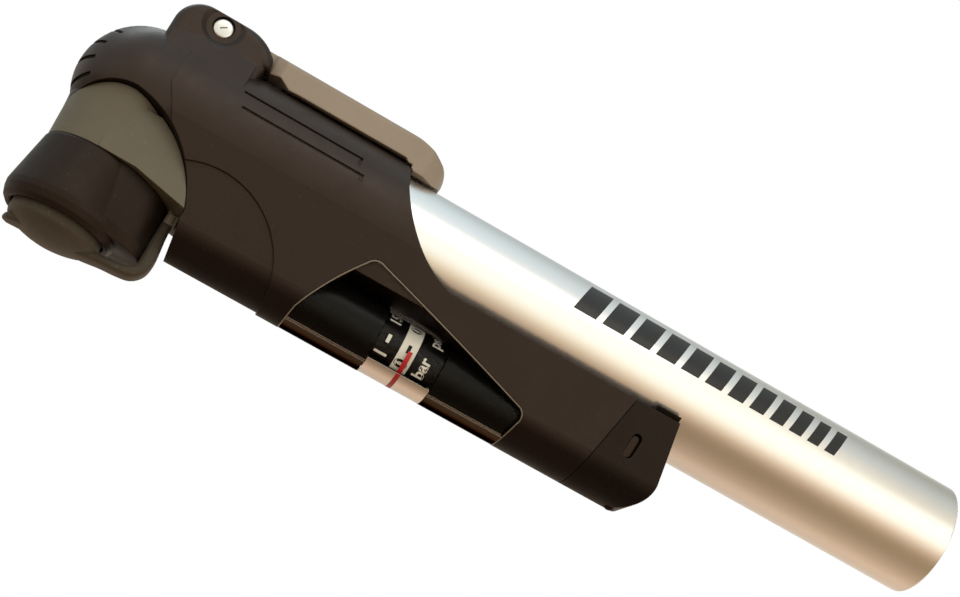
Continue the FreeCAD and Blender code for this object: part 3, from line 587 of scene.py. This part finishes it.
def build_window_rim():
    """Rounded bright edge of the clear cover, laid along the edges of the cover's outer face: an opaque bead
    whose light colour is a painted highlight.
    """
    sharp = math.radians(50)                # an edge turns more than this
    reach = 7.8 * MM                        # the outer face lies farther from the axis than this
    bead = 0.16 * MM
    inset = 0.1 * MM                        # keeps the bead inside the CAD node
    source = bmesh.new()
    source.from_mesh(frame["nodes"]["gauge_window"].data)
    bmesh.ops.remove_doubles(source, verts=source.verts, dist=0.002 * MM)
    edges = []
    for edge in source.edges:
        if len(edge.link_faces) != 2 or edge.calc_face_angle(0) < sharp:
            continue
        place = edge.verts[0].co
        outward = Vector((0, place.y, place.z - WINDOW_AXIS_Z))
        if outward.z > 0 and abs(place.y) > 1 * MM or outward.length > reach:
            normals = [face.normal for face in edge.link_faces]
            if any(abs(n.x) < 0.2 and n.y * place.y >= 0 and n.dot(outward) > 0 for n in normals):
                edges.append((edge.verts[0].index, edge.verts[1].index))
    curve = bpy.data.curves.new("window_rim", "CURVE")
    curve.dimensions = "3D"
    curve.bevel_depth = bead
    curve.bevel_resolution = 2
    source.verts.ensure_lookup_table()
    for chain in chained(edges):
        spline = curve.splines.new("POLY")
        spline.points.add(len(chain) - 1)
        for point, index in zip(spline.points, chain):
            co = source.verts[index].co
            inward = Vector((0, -co.y, WINDOW_AXIS_Z - co.z)).normalized() * inset
            point.co = (co.x, co.y + inward.y, co.z + inward.z, 1)
    source.free()
    piece("window_rim", shaded(evaluated("window_rim_path", curve)), PAINTED_RIM_HIGHLIGHT, "head")


def chained(edges):
    """Joins edges, given as pairs of vertex numbers, into runs."""
    links = {}
    for a, b in edges:
        links.setdefault(a, []).append(b)
        links.setdefault(b, []).append(a)
    runs = []
    used = set()
    starts = sorted(links, key=lambda v: (len(links[v]) == 2, v))
    for start in starts:
        for follow in links[start]:
            if frozenset((start, follow)) in used:
                continue
            run = [start]
            here, there = start, follow
            while there is not None:
                used.add(frozenset((here, there)))
                run.append(there)
                ahead = [v for v in links[there] if frozenset((there, v)) not in used]
                here, there = there, (ahead[0] if len(links[there]) == 2 and ahead else None)
            runs.append(run)
    return runs


# ---------------------------------------------------------------- dust cap, strap and pin
def turned(name, profile, segments=96):
    """A closed form turned about Z from its (radius, height) outline in millimetres, from axis to axis."""
    bm = bmesh.new()
    first = bm.verts.new((0, 0, profile[0][1] * MM))
    last = bm.verts.new((0, 0, profile[-1][1] * MM))
    rings = [[bm.verts.new((radius * MM * math.cos(a), radius * MM * math.sin(a), height * MM))
              for a in circle(segments)] for radius, height in profile[1:-1]]
    for i in range(segments):
        j = (i + 1) % segments
        bm.faces.new((first, rings[0][i], rings[0][j]))
        bm.faces.new((last, rings[-1][j], rings[-1][i]))
        for near, far in zip(rings, rings[1:]):
            bm.faces.new((near[i], far[i], far[j], near[j]))
    return finished(bm, name)


def swept(name, rows, sides=20):
    """A soft-edged band along a path in the XZ plane; rows of (x, z, width, height) in millimetres."""
    square_wide, square_tall = 0.45, 0.6    # an ellipse at 1, and squarer the smaller they are
    bm = bmesh.new()
    rings = []
    for i, (x, z, width, height) in enumerate(rows):
        near = rows[max(0, i - 1)]
        far = rows[min(len(rows) - 1, i + 1)]
        along = Vector((far[0] - near[0], 0, far[1] - near[1])).normalized()
        up = Vector((-along.z, 0, along.x))
        ring = []
        for a in circle(sides):
            c, d = math.cos(a), math.sin(a)
            across = math.copysign(abs(c) ** square_wide, c) * width / 2
            rise = math.copysign(abs(d) ** square_tall, d) * height / 2
            ring.append(bm.verts.new(at(x, 0, z) + Vector((0, across * MM, 0)) + up * rise * MM))
        rings.append(ring)
    for near, far in zip(rings, rings[1:]):
        for k in range(sides):
            j = (k + 1) % sides
            bm.faces.new((near[k], near[j], far[j], far[k]))
    bm.faces.new(rings[0][::-1])
    bm.faces.new(rings[-1])
    return finished(bm, name)


def smooth_path(points, steps=8):
    """A smooth curve through all the points (Catmull-Rom); sizes beside a point's place are blended too."""
    ends = [points[0]] + list(points) + [points[-1]]
    out = []
    for a, b, c, d in zip(ends, ends[1:], ends[2:], ends[3:]):
        for i in range(steps):
            t = i / steps
            out.append(tuple(0.5 * (2 * q + (r - p) * t + (2 * p - 5 * q + 4 * r - s) * t * t
                                    + (3 * q - p - 3 * r + s) * t ** 3) for p, q, r, s in zip(a, b, c, d)))
    out.append(tuple(points[-1]))
    return out


def build_cap():
    """Dust cap with a rolled lip and a low crown, its pull tab, its band and the strap button."""
    face = -31.65                           # the crown's lowest point, from the barrel axis
    dome, edge, rows = 18, 7.0, 8           # the crown's radius of curvature, its edge and its rings
    radii = [edge * i / rows for i in range(rows + 1)]
    crown = [(r, face + dome - math.sqrt(dome ** 2 - r ** 2)) for r in radii]
    lip = [(7.15, -30.12), (7.35, -30.0), (7.75, -29.85), (8.08, -29.55), (8.25, -29.15), (8.3, -28.7),
           (8.3, -27.4), (8.2, -27.0), (7.9, -26.85), (6.6, -26.82)]
    inside = [(6.3, -26.9), (5.9, -27.6), (5.6, -27.7), (0, -27.7)]
    mesh = turned("cap_body", crown + lip + inside)
    mesh.transform(Matrix.Translation((0, 0, AXIS)))
    body = piece("cap_body", mesh, CAP_RUBBER, "valve_cap")
    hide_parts("dust_cap")
    tab = smooth_path([(-4.2, -30.3, 4.6, 1.4), (-6.2, -30.35, 4.4, 1.5), (-7.5, -30.6, 3.6, 1.2),
                       (-8.0, -30.8, 1.8, 0.8), (-8.25, -30.9, 0.5, 0.35)])
    piece("cap_tab", swept("cap_tab", tab), CAP_RUBBER, "valve_cap")
    run = smooth_path([(3.5, -30.4, 4.4, 1.2), (6.5, -30.0, 4.8, 1.6), (9.5, -29.6, 4.6, 1.7),
                       (12.4, -29.4, 4.4, 1.8), (14.6, -28.9, 4.4, 2.1), (15.85, -27.6, 4.4, 2.3),
                       (16.1, -25.6, 4.3, 2.55), (16.0, -23.5, 4.0, 2.4), (15.85, -21.0, 3.7, 2.1),
                       (15.8, -18.6, 3.4, 1.85)])
    mesh = swept("cap_band", run)
    band = linked("cap_band", mesh)
    mesh.materials.append(CAP_RUBBER)
    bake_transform(band)
    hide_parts("cap_strap")
    stud = 15.95                            # the button's place along the barrel
    mesh = swept("strap_button", [(stud, -18.75, 4.5, 1.7), (stud, -18.5, 4.9, 1.95),
                                  (stud, -16.9, 4.9, 1.95), (stud, -16.7, 4.5, 1.7)])
    button = piece("strap_button", mesh, LUG, "head")
    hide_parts("cap_strap")


def build_pin():
    """Lever pin with crowned ends, each with a small slot."""
    half = 8.08                             # half the pin's length, in millimetres
    slot = (1.3 * MM, 0.2 * MM, 0.04 * MM)  # length, width and depth of a slot's dark face
    crown = [(0, 0), (0.8, 0.01), (1.4, 0.06), (1.75, 0.18), (1.93, 0.36), (2.0, 0.6)]
    end = [(r, half - drop) for r, drop in crown]
    profile = end + [(r, -h) for r, h in end[::-1]]
    lay = Matrix.Translation(PIN) @ Matrix.Rotation(math.radians(90), 4, "X")
    mesh = turned("pin_body", profile, 64)
    mesh.transform(lay)
    pin = piece("pin_body", mesh, STEEL, "head")
    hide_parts("lever_pin")
    bm = bmesh.new()
    for side in (NEAR, FAR):
        made = bmesh.ops.create_cube(bm, size=1.0)["verts"]
        place = Matrix.Translation((0, 0, side * half * MM)) @ Matrix.Rotation(math.radians(35), 4, "Z")
        bmesh.ops.transform(bm, verts=made, matrix=place @ Matrix.Diagonal((*slot, 1)))
    mesh = finished(bm, "pin_slot")
    mesh.transform(lay)
    slots = piece("pin_slot", mesh, GRAPHIC, "head")
    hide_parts("lever_pin")


# ---------------------------------------------------------------- springs
def build_springs():
    """The hidden springs, each a steel copy of its CAD node fixed to the head."""
    for joint in frame["record"]["behaviour"]["joints"]:
        for row in joint.get("deforming_nodes", []):
            node = row["node"]
            mesh = frame["nodes"][node].data.copy()
            mesh.materials.clear()
            coil = piece(node + "_coil", mesh, STEEL, "head")
            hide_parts(node)
            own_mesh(coil)


# ---------------------------------------------------------------- sleeve graphic
def build_graphic():
    """Plain slanted bars printed along the sleeve, shorter towards its end."""
    bars = 12
    gap = 1.3 * MM
    slant = 2.2 * MM
    foot, span = 8, 40                      # degrees round the sleeve: the bars' foot, the first one's height
    ink = 0.02 * MM
    bm = bmesh.new()
    start = SLEEVE_LOW.x + 65 * MM
    for number in range(bars):
        width = (4.6 - 0.22 * number) * MM
        low, high = math.radians(foot), math.radians(foot + span - 0.7 * number)
        patch(bm, start, start + width, low, high, SLEEVE_R - ink, SLEEVE_R + ink, AXIS, slant, steps=32)
        start += width + gap
    piece("sleeve_graphic", finished(bm, "sleeve_graphic"), GRAPHIC, "handle")


# ---------------------------------------------------------------- studio
def build_floor():
    """Plain pale paper well below the pump; only the camera sees it, so it sends the pump no light."""
    bpy.ops.mesh.primitive_plane_add(size=12, location=(0, 0, -0.62))
    floor = bpy.context.object
    floor.name = "floor"
    material, t, shader = new_material("floor_paper")
    tone = t.mix(t.noise(3, 2), rgba(0.86), rgba(0.9))
    t.put(shader, "Base Color", tone)
    shader.inputs["Roughness"].default_value = 0.9
    floor.data.materials.append(material)
    floor.visible_diffuse = False
    floor.visible_glossy = False
    floor.visible_transmission = False


def build_world():
    """Soft studio light from LIGHT_LEFT and LIGHT_RIGHT, in a plain white surround."""
    world = bpy.data.worlds.new("studio")
    bpy.context.scene.world = world
    world.use_nodes = True
    world.node_tree.nodes.clear()
    t = Tree(world.node_tree)
    coords = t.add("ShaderNodeTexCoord").outputs["Generated"]
    front = Vector((0, -math.cos(ELEVATION), math.sin(ELEVATION)))
    above = Vector((0, math.sin(ELEVATION), math.cos(ELEVATION)))

    def along(direction):
        node = t.add("ShaderNodeVectorMath", {"operation": "DOT_PRODUCT"})
        t.put(node, "0", coords)
        t.put(node, "1", direction)
        return node.outputs["Value"]

    turn = t.math("ARCTAN2", along(above), along(front))
    share = t.math("ADD", t.math("DIVIDE", turn, 2 * math.pi), 0.5)

    def stops(rows):
        return [((angle + 180) / 360, colour) for angle, colour in rows]

    cool = t.ramp(share, stops(LIGHT_LEFT))
    warm = t.ramp(share, stops(LIGHT_RIGHT))
    change, steepness = 0.12, 3.6           # where along the barrel the left light gives way to the right one
    beyond = t.math("SUBTRACT", along(Vector((1, 0, 0))), change)
    across = t.math("MULTIPLY", beyond, steepness, clamp=True)
    light = t.mix(across, cool, warm)
    ray = t.add("ShaderNodeLightPath").outputs["Is Camera Ray"]
    shown = t.mix(ray, light, rgba(1.0))
    background = t.add("ShaderNodeBackground", Strength=1.0)
    t.put(background, "Color", shown)
    output = t.add("ShaderNodeOutputWorld")
    world.node_tree.links.new(background.outputs[0], output.inputs[0])


# the studio's light by the angle round the barrel in degrees, from the camera's side (0) over the top (180)
LIGHT_RIGHT = [
    (-180, (0.95, 0.88, 0.80)), (-160, (0.90, 0.79, 0.66)), (-140, (0.76, 0.58, 0.44)),
    (-110, (0.86, 0.62, 0.43)), (-80, (0.56, 0.39, 0.25)), (-50, (0.36, 0.25, 0.14)),
    (-30, (0.42, 0.28, 0.16)), (-14, (0.80, 0.55, 0.36)), (0, (1.30, 1.10, 0.85)),
    (8, (1.50, 1.40, 1.20)), (44, (1.50, 1.45, 1.26)), (56, (0.80, 0.70, 0.54)),
    (90, (0.57, 0.58, 0.54)), (130, (0.36, 0.35, 0.29)), (150, (0.46, 0.44, 0.38)),
    (165, (0.85, 0.82, 0.76)), (180, (0.95, 0.90, 0.84)),
]
LIGHT_LEFT = [
    (-180, (0.62, 0.60, 0.56)), (-160, (0.60, 0.54, 0.46)), (-140, (0.55, 0.45, 0.36)),
    (-110, (0.62, 0.46, 0.33)), (-80, (0.40, 0.28, 0.19)), (-50, (0.26, 0.18, 0.11)),
    (-30, (0.26, 0.18, 0.11)), (-12, (0.60, 0.43, 0.28)), (0, (0.85, 0.68, 0.43)),
    (10, (1.08, 0.98, 0.75)), (26, (1.20, 1.20, 1.12)), (50, (1.10, 1.02, 0.82)),
    (68, (0.88, 0.86, 0.78)), (90, (0.84, 0.94, 0.99)), (110, (0.76, 0.87, 0.90)),
    (140, (0.50, 0.57, 0.57)), (160, (0.52, 0.56, 0.56)), (180, (0.62, 0.62, 0.59)),
]


def build_lights():
    """Two weak area lights: a warm key from the camera's side and a cool rim from behind."""
    for name, size, power, place, colour in (
        ("key", (0.5, 0.25), 0.5, (0.02, -0.45, 0.42), (1.0, 0.97, 0.92)),
        ("rim", (0.4, 0.1), 0.4, (-0.2, 0.25, 0.45), (0.88, 0.94, 1.0)),
    ):
        data = bpy.data.lights.new(name, "AREA")
        data.shape = "RECTANGLE"
        data.size, data.size_y = size
        data.energy = power
        data.color = colour
        light = linked(name, data)
        light.location = place
        light.rotation_mode = "QUATERNION"
        light.rotation_quaternion = (AIM - Vector(place)).to_track_quat("-Z", "Y")


make_camera()
dress_nodes()
build_drum()
build_gauge_tube()
build_index()
build_window_rim()
build_cap()
build_pin()
build_springs()
build_graphic()
build_floor()
build_world()
build_lights()
bpy.context.scene.view_settings.view_transform = "Standard"
